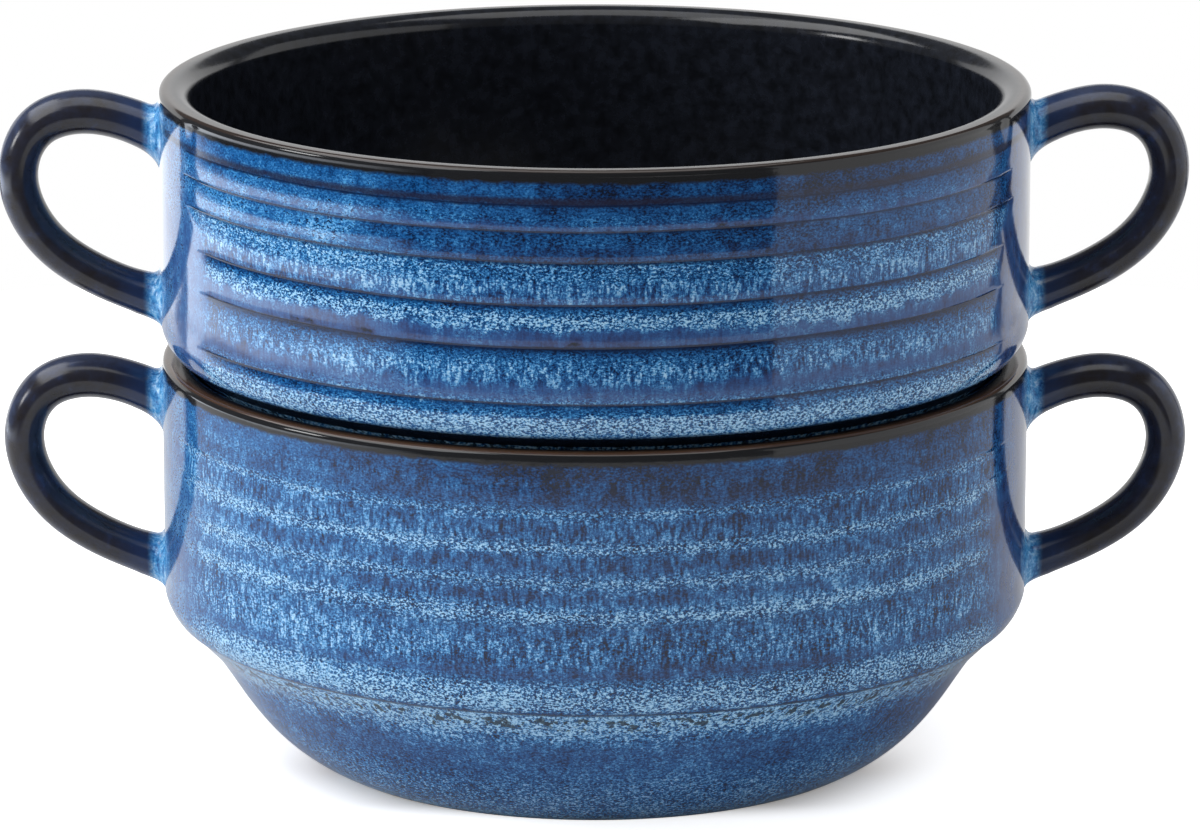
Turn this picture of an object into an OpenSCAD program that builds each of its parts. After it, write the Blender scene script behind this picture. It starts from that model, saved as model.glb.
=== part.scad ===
// Two stacking soup bowls with a lug handle on each side, thrown in glazed stoneware.
// Z is up, with zero at the underside of the lower foot, and the handles lie along X.
// The upper bowl seats on the inner edge of the lower bowl's lip.

/* [Bowl] */
// Outer diameter of the wall, between the grooves
rim_d = 150; // [135:1:170]
// Height from the foot to the top of the lip
bowl_h = 70.5; // [64:0.5:84]
// Thickness of the wall at the lip
wall_t = 5.7; // [5:0.1:6.4]
// Inward lean of the inner wall, from the lip to the start of the round floor
wall_lean = 1.2; // [0:0.1:2.5]
// Thickness of the floor in the middle
floor_t = 5.6; // [4:0.1:8]

/* [Lip] */
// Radius of the outer edge of the lip
lip_out_round = 1.2; // [0.6:0.1:1.8]
// Radius of the inner edge of the lip, which carries the next bowl
lip_in_round = 3; // [2.2:0.1:3.4]

/* [Step and foot] */
// Height of the step that ends the upright wall
step_h = 25.3; // [22:0.1:29]
// Distance that the step's crease lies in from the outside of the wall
crease_in = 2.5; // [1.5:0.1:3.2]
// Slope of the conical seat below the step, measured from level
seat_angle = 45; // [42:1:52]
// Length of the conical seat, measured along its slope
seat_len = 6.2; // [4.2:0.1:6.4]
// Outer diameter of the foot
foot_d = 97; // [84:1:104]
// Slope of the body where it leaves the foot, measured from level
foot_angle = 25; // [6:1:28]
// Width of the flat that the foot ring stands on
foot_land_w = 4.4; // [3:0.1:7]
// Radius of the foot ring's edges
foot_round = 0.8; // [0.4:0.1:1.2]
// Height of the hollow inside the foot ring
foot_hollow_h = 2.4; // [1.5:0.1:3.5]

/* [Throwing rings] */
// Depth of the grooves between the rings
ring_depth = 0.3; // [0.1:0.05:0.6]

/* [Handles] */
// Reach of a handle, from the wall to its outermost point
handle_reach = 27.6; // [22:0.1:34]
// Thickness of a handle at its top, in the plane of its loop
handle_t = 7.6; // [6:0.1:8.4]
// Width of a handle across its loop
handle_w = 9.8; // [8:0.1:13]
// Distance from the top of the lip down to the top of a handle
handle_drop = 0.8; // [0:0.1:4]
// Height of the lower root's centre above the step
low_root_rise = 7.7; // [7.6:0.1:11]

/* [Stack] */
// Clearance between the upper bowl's seat and the lower bowl's lip
seat_gap = 0.3; // [0.2:0.05:0.5]
// Turn of the upper bowl about the stack's axis, in degrees
upper_turn = 1.5; // [-10:0.5:10]

/* [Hidden] */

glaze_blue = [0.25, 0.42, 0.62];
glaze_dark = [0.11, 0.14, 0.21];

wall_r = rim_d / 2;
inner_r = wall_r - wall_t;
lip_in_c = [inner_r + lip_in_round, bowl_h - lip_in_round];
lip_out_c = [wall_r - lip_out_round, bowl_h - lip_out_round];
crease = [wall_r - crease_in, step_h];
seat_dir = [cos(seat_angle), sin(seat_angle)];
seat_end = crease - seat_len * seat_dir;
foot_r = foot_d / 2;
wall_h = bowl_h - step_h;

// Facets along the profile's rounds, and round the bowl for the interpreter's own mesh
round_steps = 6;
curve_steps = 14;
groove_steps = 8;
body_fn = 180;

// Height of the upper bowl's foot when its cone rests, less the clearance,
// on the round inner edge of the lip below
stack_pitch = lip_in_c[1] - step_h
    + (lip_in_round + seat_gap - (lip_in_c[0] - crease[0]) * sin(seat_angle)) / cos(seat_angle);

// Heights of the grooves from the step up, and their width, as shares of the upright wall's height.
// They are left by the potter's fingers, so they aren't evenly spaced.
ring_shares = [0.144, 0.356, 0.513, 0.67, 0.781, 0.876];
ring_w_share = 0.088;

// The wall's rounded corner above the step: its height as a share of the wall's,
// and the shares of its height and of its width that its two tangents run to
corner_h_share = 0.095;
corner_down_share = 0.3;
corner_out_share = 0.41;

// Shares of the foot curve's chord that its two tangents run to
foot_tangent_share = 0.45;
seat_tangent_share = 0.22;

// The round of the inside: where it starts above the step, its flat middle, and its tangents
bowl_round_rise_share = 0.3;
floor_flat_share = 0.42;
bowl_side_tangent_share = 0.6;
bowl_floor_tangent_share = 0.55;

// Points of an arc about c, from angle a0 to angle a1
function arc(c, r, a0, a1, steps = round_steps) =
    [for (i = [0 : steps]) let (a = a0 + (a1 - a0) * i / steps) c + r * [cos(a), sin(a)]];

// Points of a cubic curve with end points p0 and p3, without p0
function cubic(p0, p1, p2, p3, steps = curve_steps) =
    [for (i = [1 : steps]) let (t = i / steps, u = 1 - t)
        u * u * u * p0 + 3 * u * u * t * p1 + 3 * u * t * t * p2 + t * t * t * p3];

// One groove between throwing rings, a smooth dip centred on height h, from the bottom up
function groove(h) =
    [for (i = [0 : groove_steps]) let (u = i / groove_steps - 1 / 2, c = cos(180 * u))
        [wall_r - ring_depth * c * c, h + ring_w_share * wall_h * u]];

wall_points = [for (share = ring_shares) each groove(step_h + share * wall_h)];

// The wall's corner above the step, from the crease up to the upright wall
corner_h = corner_h_share * wall_h;
corner_curve = cubic(crease,
                     crease + [corner_out_share * crease_in, 0],
                     [wall_r, step_h + (1 - corner_down_share) * corner_h],
                     [wall_r, step_h + corner_h]);

foot_edge = arc([foot_r - foot_round * sin(foot_angle), foot_round], foot_round, -90, -90 + foot_angle);
foot_top = foot_edge[len(foot_edge) - 1];
foot_chord = norm(seat_end - foot_top);
foot_curve = cubic(foot_top,
                   foot_top + foot_tangent_share * foot_chord * [cos(foot_angle), sin(foot_angle)],
                   seat_end - seat_tangent_share * foot_chord * seat_dir,
                   seat_end);

// The outside from the foot's flat to the top of the lip
outer_points = concat(foot_edge,
                      foot_curve,
                      [crease],
                      corner_curve,
                      wall_points,
                      arc(lip_out_c, lip_out_round, 0, 90));

floor_h = foot_hollow_h + floor_t;
floor_flat_r = floor_flat_share * wall_r;
bowl_round_top = [inner_r - wall_lean, step_h + bowl_round_rise_share * wall_h];
bowl_round_drop = bowl_round_top[1] - floor_h;
bowl_round_run = bowl_round_top[0] - floor_flat_r;

// The inside from the lip down to the middle of the floor
inner_points = concat(arc(lip_in_c, lip_in_round, 90, 180),
                      [bowl_round_top],
                      cubic(bowl_round_top,
                            bowl_round_top - [0, bowl_side_tangent_share * bowl_round_drop],
                            [floor_flat_r + bowl_floor_tangent_share * bowl_round_run, floor_h],
                            [floor_flat_r, floor_h]),
                      [[0, floor_h]]);

// The underside: the hollow, and the foot ring's inner edge
land_in_r = foot_top[0] - foot_land_w;
under_points = concat([[0, foot_hollow_h]],
                      arc([land_in_r - 2 * foot_round, foot_hollow_h - foot_round], foot_round, 90, 0),
                      arc([land_in_r, foot_round], foot_round, 180, 270));

// The body of one bowl, thrown in one piece with its foot ring
module bowl_body() {
    color(glaze_blue)
        rotate_extrude($fn = body_fn)
            polygon(concat(outer_points, inner_points, under_points));
}

// The outside of the body as a solid, which the handles' roots are fitted to
module bowl_outside() {
    rotate_extrude($fn = body_fn)
        polygon(concat([[0, 0]], outer_points, [[0, bowl_h]]));
}

// Handles: an oval strap on a smooth loop in the X-Z plane.
// Each row is a guide point: its distance out from the wall as a share of the loop's reach,
// its height as a share of the loop's height, and its thickness and width as shares of the strap's.
loop_shares = [
    [-0.50, 0.56, 1.7, 1.8],
    [-0.30, 0.70, 1.6, 1.8],
    [-0.12, 0.83, 1.5, 1.65],
    [ 0.01, 0.89, 1.26, 1.38],
    [ 0.12, 0.93, 1.0, 1.12],
    [ 0.28, 0.975, 0.97, 1.02],
    [ 0.54, 1.015, 1.01, 1.0],
    [ 0.83, 0.97, 0.99, 1.0],
    [ 0.99, 0.83, 0.92, 1.0],
    [ 1.04, 0.64, 0.9, 1.0],
    [ 0.95, 0.435, 0.9, 1.0],
    [ 0.76, 0.26, 0.9, 1.0],
    [ 0.50, 0.14, 0.91, 1.0],
    [ 0.27, 0.065, 0.91, 1.0],
    [ 0.12, 0.03, 0.96, 1.08],
    [ 0.01, 0.0, 1.45, 1.42],
    [-0.12, 0.0, 1.75, 1.7],
    [-0.32, 0.0, 1.5, 1.8]
];
loop_steps = 4;
strap_sides = 24;
loop_reach = handle_reach - handle_t / 2;
loop_low_h = step_h + low_root_rise;
loop_high_h = bowl_h - handle_drop - handle_t / 2;

// A guide point in real sizes: [x, z, thickness, width]
function guide(row) = [wall_r + row[0] * loop_reach,
                       loop_low_h + row[1] * (loop_high_h - loop_low_h),
                       row[2] * handle_t,
                       row[3] * handle_w];

// A smooth cubic through four guide points, and its direction, at share t of the middle span
function spline(a, b, c, d, t) =
    ((1 - t) * (1 - t) * (1 - t) * a
     + (3 * t * t * t - 6 * t * t + 4) * b
     + (3 * t + 3 * t * t - 3 * t * t * t + 1) * c
     + t * t * t * d) / 6;
function spline_dir(a, b, c, d, t) =
    (t * t * d - (1 - t) * (1 - t) * a
     + (3 * t * t - 4 * t) * b
     + (1 + 2 * t - 3 * t * t) * c) / 2;

loop_guides = [for (row = loop_shares) guide(row)];
loop_spans = len(loop_guides) - 3;

// One oval section of the strap, at share t of the given span
function strap_section(span, t) =
    let (a = loop_guides[span], b = loop_guides[span + 1],
         c = loop_guides[span + 2], d = loop_guides[span + 3],
         p = spline(a, b, c, d, t),
         v = spline_dir(a, b, c, d, t),
         n = [-v[1], v[0]] / norm([v[0], v[1]]))
    [for (k = [0 : strap_sides - 1]) let (w = 360 * k / strap_sides)
        [p[0] + n[0] * p[2] / 2 * cos(w), p[3] / 2 * sin(w), p[1] + n[1] * p[2] / 2 * cos(w)]];

loop_sections = concat([for (s = [0 : loop_spans - 1], i = [0 : loop_steps - 1])
                            strap_section(s, i / loop_steps)],
                       [strap_section(loop_spans - 1, 1)]);

// The skin between sections, and the two flat ends
function skin_faces(rings) =
    [for (r = [0 : rings - 2], k = [0 : strap_sides - 1])
        let (a = r * strap_sides + k, b = r * strap_sides + (k + 1) % strap_sides)
        each [[a, b, b + strap_sides], [a, b + strap_sides, a + strap_sides]]];
function end_face(ring) = [for (k = [0 : strap_sides - 1]) ring * strap_sides + k];
function reversed(list) = [for (i = [len(list) - 1 : -1 : 0]) list[i]];

module strap() {
    rings = len(loop_sections);
    polyhedron(points = [for (section = loop_sections) each section],
               faces = concat(skin_faces(rings),
                              [reversed(end_face(0))],
                              [end_face(rings - 1)]));
}

// A handle on the right side; side -1 puts it on the left
module handle(side) {
    color(glaze_dark)
        difference() {
            rotate([0, 0, side > 0 ? 0 : 180]) strap();
            bowl_outside();
        }
}

// Places its children on the upper bowl
module on_upper() {
    translate([0, 0, stack_pitch]) rotate([0, 0, upper_turn]) children();
}

module lower_bowl() {
    bowl_body();
}
module lower_left_handle() {
    handle(-1);
}
module lower_right_handle() {
    handle(1);
}
module upper_bowl() {
    on_upper() bowl_body();
}
module upper_left_handle() {
    on_upper() handle(-1);
}
module upper_right_handle() {
    on_upper() handle(1);
}

lower_bowl();
lower_left_handle();
lower_right_handle();
upper_bowl();
upper_left_handle();
upper_right_handle();
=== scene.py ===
"""Two glazed stoneware soup bowls with looped lug handles, one stacked in the other, on a pale floor."""

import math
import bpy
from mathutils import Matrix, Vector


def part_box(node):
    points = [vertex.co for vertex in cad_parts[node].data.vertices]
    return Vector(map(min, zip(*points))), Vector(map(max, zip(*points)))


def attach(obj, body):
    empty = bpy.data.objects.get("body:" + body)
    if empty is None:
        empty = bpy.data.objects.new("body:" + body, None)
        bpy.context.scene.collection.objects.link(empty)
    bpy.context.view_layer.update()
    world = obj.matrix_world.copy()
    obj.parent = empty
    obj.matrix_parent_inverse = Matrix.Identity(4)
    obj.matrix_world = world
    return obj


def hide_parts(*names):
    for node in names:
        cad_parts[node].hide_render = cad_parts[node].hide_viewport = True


bl_info = {
    "name": "Stacked Lug Soup Bowls",
    "version": (1, 0, 0),
    "blender": (4, 5, 0),
    "location": "View3D > Sidebar > Soup Bowls",
    "description": "Builds two stacked stoneware soup bowls with looped handles and a reactive blue glaze",
    "category": "Add Mesh",
}

import bpy
from bpy.props import FloatProperty, FloatVectorProperty, IntProperty, PointerProperty
from mathutils import Vector

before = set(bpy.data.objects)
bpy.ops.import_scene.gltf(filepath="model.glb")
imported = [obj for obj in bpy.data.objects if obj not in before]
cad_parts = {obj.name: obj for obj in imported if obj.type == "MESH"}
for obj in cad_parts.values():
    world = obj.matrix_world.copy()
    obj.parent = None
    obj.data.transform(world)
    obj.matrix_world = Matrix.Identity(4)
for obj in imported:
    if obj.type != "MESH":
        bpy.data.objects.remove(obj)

MM = 0.001
PER_METRE = 1000
BODIES = ("lower", "upper")

# How far the upper bowl stands over the lower one, and its turn about the stack's axis
FOOT_TO_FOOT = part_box("upper_bowl")[0].z
UPPER_TURN = math.radians(1.5)


def srgb(red, green, blue):
    """A colour picked on a screen, from 0 to 255, as the linear colour a shader takes."""

    def linear(value):
        share = value / 255
        return share / 12.92 if share <= 0.04045 else ((share + 0.055) / 1.055) ** 2.4

    return (linear(red), linear(green), linear(blue), 1.0)


def add_object(name, data):
    """A new object in the scene, at the origin."""
    made = bpy.data.objects.new(name, data)
    bpy.context.scene.collection.objects.link(made)
    return made


class Wire:
    """A node's output that Python's operators work on."""

    def __init__(self, board, socket):
        self.board = board
        self.socket = socket

    def __add__(self, other):
        return self.board.math("ADD", self, other)

    def __sub__(self, other):
        return self.board.math("SUBTRACT", self, other)

    def __rsub__(self, other):
        return self.board.math("SUBTRACT", other, self)

    def __mul__(self, other):
        return self.board.math("MULTIPLY", self, other)

    def __truediv__(self, other):
        return self.board.math("DIVIDE", self, other)

    def __rtruediv__(self, other):
        return self.board.math("DIVIDE", other, self)

    __radd__ = __add__
    __rmul__ = __mul__


class Board:
    """A node tree that is being wired up. Its nodes are laid out in columns."""

    column_width = 220
    row_height = 260
    rows = 6

    def __init__(self, tree):
        self.tree = tree
        self.count = 0

    def node(self, kind, settings=None, inputs=None, out=0):
        """Adds a node, sets it up, fills or links its inputs, and gives one of its outputs."""
        made = self.tree.nodes.new(kind)
        column, row = divmod(self.count, self.rows)
        made.location = (self.column_width * column, -self.row_height * row)
        self.count += 1
        for name, value in (settings or {}).items():
            if name == "stops":
                self.set_stops(made.color_ramp, value)
            else:
                setattr(made, name, value)
        for name, value in (inputs or {}).items():
            self.feed(made.inputs[name], value)
        return Wire(self, made.outputs[out])

    def feed(self, socket, value):
        if isinstance(value, Wire):
            self.tree.links.new(value.socket, socket)
        else:
            socket.default_value = value

    @staticmethod
    def set_stops(ramp, stops):
        while len(ramp.elements) < len(stops):
            ramp.elements.new(0.5)
        for element, stop in zip(ramp.elements, stops):
            element.position = stop[0]
        for element, stop in zip(ramp.elements, stops):
            element.color = stop[1]

    def math(self, operation, first, second=0.0):
        return self.node("ShaderNodeMath", {"operation": operation}, {0: first, 1: second})

    def circle(self, angle):
        """The cosine and the sine of an angle."""
        return self.math("COSINE", angle), self.math("SINE", angle)

    def vector(self, operation, first, second=(0, 0, 0), out=0):
        return self.node("ShaderNodeVectorMath", {"operation": operation}, {0: first, 1: second}, out)

    def scaled(self, vector, amount):
        return self.node("ShaderNodeVectorMath", {"operation": "SCALE"}, {0: vector, "Scale": amount})

    def split(self, vector):
        made = self.node("ShaderNodeSeparateXYZ", None, {0: vector})
        return [Wire(self, made.socket.node.outputs[k]) for k in range(3)]

    def join(self, x, y, z):
        return self.node("ShaderNodeCombineXYZ", None, {0: x, 1: y, 2: z})

    def noise(self, place, scale, detail=2.0, roughness=0.5):
        return self.node("ShaderNodeTexNoise", {"noise_dimensions": "3D"}, {
            "Vector": place, "Scale": scale, "Detail": detail, "Roughness": roughness})

    def ease(self, value, low, high, first=0.0, last=1.0):
        """A smooth step from first to last as the value goes from low to high."""
        return self.node("ShaderNodeMapRange", {"interpolation_type": "SMOOTHSTEP"}, {
            "Value": value, "From Min": low, "From Max": high, "To Min": first, "To Max": last})


class ShaderBoard(Board):
    """The node tree of a material or of the world."""

    def attribute(self, name):
        return self.node("ShaderNodeAttribute", {"attribute_name": name}, None, "Fac")

    def place(self):
        """Object coordinates."""
        own = self.node("ShaderNodeTexCoord", None, None, "Object")
        return self.node("ShaderNodeMapping", None, {"Vector": own})

    def blend(self, share, first, second):
        return self.node("ShaderNodeMix", {"data_type": "RGBA"}, {0: share, 6: first, 7: second}, 2)

    def coats(self, colour, layers):
        """A colour under layers of others, each with its share."""
        for share, over in layers:
            colour = self.blend(share, colour, over)
        return colour

    def ramp(self, value, stops):
        return self.node("ShaderNodeValToRGB", {"stops": stops}, {"Fac": value})

    def patterns(self, table, seed):
        """The noises of a table that gives each its stretch, scale, detail and roughness."""
        shift = self.vector("ADD", self.place(), (seed, seed * 0.7, seed * 0.3))
        return {key: self.noise(self.vector("MULTIPLY", shift, stretch), *grain)
                for key, (stretch, *grain) in table.items()}

    def swings(self, patterns, amounts):
        """The sum of the patterns' swings about their middle, each times its amount."""
        total = 0.0
        for key, amount in amounts.items():
            total = total + (patterns[key] - 0.5) * amount
        return total

    def surface(self, colour, roughness, height, bump_strength):
        """The glaze's own shader, over a faint unevenness, as the material's output."""
        bump = self.node("ShaderNodeBump", None, {
            "Strength": bump_strength, "Distance": 0.00005, "Height": height})
        self.finish(self.node("ShaderNodeBsdfPrincipled", None, {
            "Base Color": colour, "Roughness": roughness, "IOR": 1.52, "Normal": bump}))

    def finish(self, shader, output_kind="ShaderNodeOutputMaterial"):
        output = self.tree.nodes.new(output_kind)
        self.tree.links.new(shader.socket, output.inputs["Surface"])


def new_material(name):
    """A material and its empty board."""
    material = bpy.data.materials.new(name)
    material.use_nodes = True
    material.node_tree.nodes.clear()
    return material, ShaderBoard(material.node_tree)


# Sizes and colours that a user may change


def length(name, description, default):
    return FloatProperty(name=name, description=description, default=default, unit="LENGTH")


def glaze_colour(name, description, *screen_colour):
    return FloatVectorProperty(name=name, description=description, subtype="COLOR", size=4,
                               default=srgb(*screen_colour))


class BowlSizes(bpy.types.PropertyGroup):
    """Sizes of one bowl's body."""

    rim_radius: length("Rim radius", "Outer radius of the wall", 0.075)
    height: length("Height", "From the foot to the top of the lip", 0.0705)
    wall: length("Wall", "Thickness of the wall at the lip", 0.0057)
    upper_ring_depth: length("Upper ring depth", "Depth of the upper bowl's throwing rings", 0.0003)
    lower_ring_depth: length("Lower ring depth", "Depth of the lower bowl's throwing rings", 0.00005)
    segments: IntProperty(name="Segments", description="Faces round the bowl", default=360, min=24)


class HandleSizes(bpy.types.PropertyGroup):
    """Sizes of the looped handles."""

    thickness: length("Thickness", "Thickness in the loop's plane", 0.0076)
    width: length("Width", "Width across the loop", 0.0098)
    flare: length("Flare", "How far a root spreads over the wall", 0.0034)
    sides: IntProperty(name="Sides", description="Faces round the strap", default=48, min=8)


class GlazeColours(bpy.types.PropertyGroup):
    """Colours of the reactive glaze."""

    dark: glaze_colour("Dark", "Glaze in the valleys", 6, 22, 46)
    navy: glaze_colour("Navy", "Glaze where it runs thin", 12, 52, 102)
    blue: glaze_colour("Blue", "Glaze over most of a ring", 30, 98, 162)
    sky: glaze_colour("Sky", "Glaze where it gathers", 82, 160, 220)
    pale: glaze_colour("Pale", "Crystals in the thickest glaze", 176, 220, 250)
    lilac: glaze_colour("Lilac", "Glaze at the lower edge of a ring", 74, 84, 132)
    plum: glaze_colour("Plum", "Glaze that breaks under the lip", 34, 34, 54)
    drip: glaze_colour("Drip", "Drips over the seat", 12, 38, 52)
    lip: glaze_colour("Lip", "Thin glaze on the lip", 29, 30, 33)
    brown: glaze_colour("Brown", "Glaze broken on the lip's edge", 118, 84, 58)
    clay: glaze_colour("Clay", "Bare fired clay", 196, 178, 150)


# The outline of a bowl, as the solids have it, in mm, degrees and shares

FOOT_RADIUS = 48.5
FOOT_EDGE_ROUND = 0.8
FOOT_LEAN = 25
FOOT_LAND = 4.4
HOLLOW_HEIGHT = 2.4
HOLLOW_FLAT_RADII = (0.0, 10.0, 20.0, 30.0, 38.0)
# The pull of the foot's curve at its two ends, as shares of its chord
FOOT_PULL = 0.45
SEAT_PULL = 0.22
# The seat is a straight cone under the step
STEP = 25.3
SEAT_SLOPE = 45
CREASE_IN = 2.5
SEAT_LENGTH = 6.2
SEAT_STRAIGHT = 4.8
# The wall's corner over the step
CORNER_RISE_SHARE = 0.095
CORNER_OUT = 1.025
CORNER_PULL = 0.7
# The lip
LIP_OUTER_ROUND = 1.2
LIP_INNER_ROUND = 3.0
# The inside
WALL_LEAN = 1.2
BOWL_ROUND_SHARE = 0.3
SIDE_PULL = 0.6
FLOOR_PULL = 0.55
FLOOR_FLAT_SHARE = 0.42
FLOOR_HEIGHT = 8.0
FLOOR_RADII = (24.0, 16.0, 8.0, 0.0)

# Heights in mm of the sharp valleys between the throwing rings, from the top one down
VALLEYS = (64.9, 60.6, 55.58, 48.49, 41.39, 31.81)
# How deep each of them is, as a share of the ring depth
VALLEY_DEPTHS = (0.6, 1.0, 1.1, 1.1, 0.7, 0.9)
# How far the wall leans in from the top valley to the lip, in the same shares
LIP_LEAN = 1.5
# A ring is full up to this share of its height, and then bends back
RING_FULL = 0.36
RING_BEND = 1.5
# A ring's lower edge is rounded in by a share of the valley under it, which fades in mm
RING_EDGE_SHARE = 0.45
RING_EDGE_FADE = 0.7
VALLEY_WIDTH = 0.05
WALL_POINT_GAP = 0.36
FEWEST_RING_POINTS = 5


def onward(start, distance, angle):
    """The point at a distance from another, at an angle in degrees."""
    angle = math.radians(angle)
    return start[0] + distance * math.cos(angle), start[1] + distance * math.sin(angle)


def arc(centre, radius, start, end, steps):
    """Points of an arc between two angles in degrees."""
    return [onward(centre, radius, start + (end - start) * i / steps) for i in range(steps + 1)]


def cubic(p0, p1, p2, p3, steps):
    """Points of a cubic curve, without its first."""
    points = []
    for i in range(1, steps + 1):
        t = i / steps
        u = 1 - t
        points.append(tuple(
            u * u * u * a + 3 * u * u * t * b + 3 * u * t * t * c + t * t * t * d
            for a, b, c, d in zip(p0, p1, p2, p3)
        ))
    return points


def between(start, end, steps):
    """Points of a straight line, without its first."""
    return [tuple(a + (b - a) * i / steps for a, b in zip(start, end)) for i in range(1, steps + 1)]


def fall_back(share):
    """How far a ring lies back, by the share of its height."""
    return max(0.0, (share - RING_FULL) / (1 - RING_FULL)) ** RING_BEND


def body_profile(sizes):
    """Rows of one bowl's outline: radius and height in mm, share of the ring, 1 on the inside, and dip."""
    rim = sizes.rim_radius / MM
    top = sizes.height / MM
    inner = rim - sizes.wall / MM
    rows = []

    def add(points, inside=0.0, share=0.5, dip=0.0):
        rows.extend((r, z, share, inside, dip) for r, z in points)

    # The underside, from its middle out to the foot, then up the foot's curve to the seat
    foot_c = (FOOT_RADIUS - FOOT_EDGE_ROUND * math.sin(math.radians(FOOT_LEAN)), FOOT_EDGE_ROUND)
    foot_top = onward(foot_c, FOOT_EDGE_ROUND, FOOT_LEAN - 90)
    land_in = FOOT_RADIUS - FOOT_LAND
    hollow_c = (land_in - 2 * FOOT_EDGE_ROUND, 2 * FOOT_EDGE_ROUND)
    add([(radius, HOLLOW_HEIGHT) for radius in HOLLOW_FLAT_RADII])
    add(arc(hollow_c, FOOT_EDGE_ROUND, 90, 0, 6))
    add(arc((land_in, FOOT_EDGE_ROUND), FOOT_EDGE_ROUND, 180, 270, 6))
    add(arc(foot_c, FOOT_EDGE_ROUND, -90, FOOT_LEAN - 90, 4))
    crease = (rim - CREASE_IN, STEP)
    seat_end = onward(crease, -SEAT_LENGTH, SEAT_SLOPE)
    chord = math.dist(seat_end, foot_top)
    add(cubic(foot_top, onward(foot_top, FOOT_PULL * chord, FOOT_LEAN),
              onward(seat_end, -SEAT_PULL * chord, SEAT_SLOPE), seat_end, 34))
    seat_top = onward(seat_end, SEAT_STRAIGHT, SEAT_SLOPE)
    add(between(seat_end, seat_top, 6))

    # The crease, glazed a little round, and the wall's corner above it
    corner_h = CORNER_RISE_SHARE * (top - STEP)
    low = STEP + corner_h
    pull = STEP + CORNER_PULL * corner_h
    corner = cubic(crease, (crease[0] + CORNER_OUT, STEP), (rim, pull), (rim, low), 20)
    add(cubic(seat_top, crease, crease, corner[1], 6)[:-1])
    depths = list(reversed(VALLEY_DEPTHS)) + [0.0]
    for r, z in corner[1:]:
        share = (z - STEP) / (VALLEYS[-1] - STEP)
        add([(r, z)], share=share, dip=depths[0] * fall_back(share))

    # The wall: each ring stands full at its lower edge and falls back towards the valley above it
    edges = [STEP] + list(reversed(VALLEYS)) + [top - LIP_OUTER_ROUND]
    rings = len(edges) - 1
    for k in range(rings):
        start, high = edges[k], edges[k + 1]
        base = start if k else low
        steps = max(FEWEST_RING_POINTS, round((high - base) / WALL_POINT_GAP))
        for i in range(0 if k else 1, steps + 1):
            z = base + (high - base) * i / steps
            if i == 0:
                z += VALLEY_WIDTH
            share = (z - start) / (high - start)
            edge = RING_EDGE_SHARE * depths[k - 1] * math.exp(-(z - base) / RING_EDGE_FADE) if k else 0.0
            back = depths[k] * fall_back(share)
            if k == rings - 1:
                back = depths[k - 1] + (LIP_LEAN - depths[k - 1]) * share
            add([(rim, z)], share=share, dip=max(back, edge))
    lip_c = (rim - LIP_OUTER_ROUND, top - LIP_OUTER_ROUND)
    lip_steps = 8
    for i, point in enumerate(arc(lip_c, LIP_OUTER_ROUND, 0, 90, lip_steps)[1:], 1):
        add([point], share=1.0, dip=LIP_LEAN * (1 - i / lip_steps))

    # The inside, from the lip down to the middle of the floor
    add(arc((inner + LIP_INNER_ROUND, top - LIP_INNER_ROUND), LIP_INNER_ROUND, 90, 180, 12), inside=1.0)
    round_top = (inner - WALL_LEAN, STEP + BOWL_ROUND_SHARE * (top - STEP))
    add(between((inner, top - LIP_INNER_ROUND), round_top, 12), inside=1.0)
    flat = FLOOR_FLAT_SHARE * rim
    add(cubic(round_top,
              (round_top[0], round_top[1] - SIDE_PULL * (round_top[1] - FLOOR_HEIGHT)),
              (flat + FLOOR_PULL * (round_top[0] - flat), FLOOR_HEIGHT),
              (flat, FLOOR_HEIGHT), 26), inside=1.0)
    add([(radius, FLOOR_HEIGHT) for radius in FLOOR_RADII], inside=1.0)
    return rows


def point_mesh(name, points, values):
    """A mesh of loose points with one attribute for each named list of numbers or vectors."""
    mesh = bpy.data.meshes.new(name)
    mesh.from_pydata(points, [], [])
    for key, numbers in values.items():
        kind, field = ("FLOAT_VECTOR", "vector") if isinstance(numbers[0], tuple) else ("FLOAT", "value")
        for item, number in zip(mesh.attributes.new(key, kind, "POINT").data, numbers):
            setattr(item, field, number)
    return mesh


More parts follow.
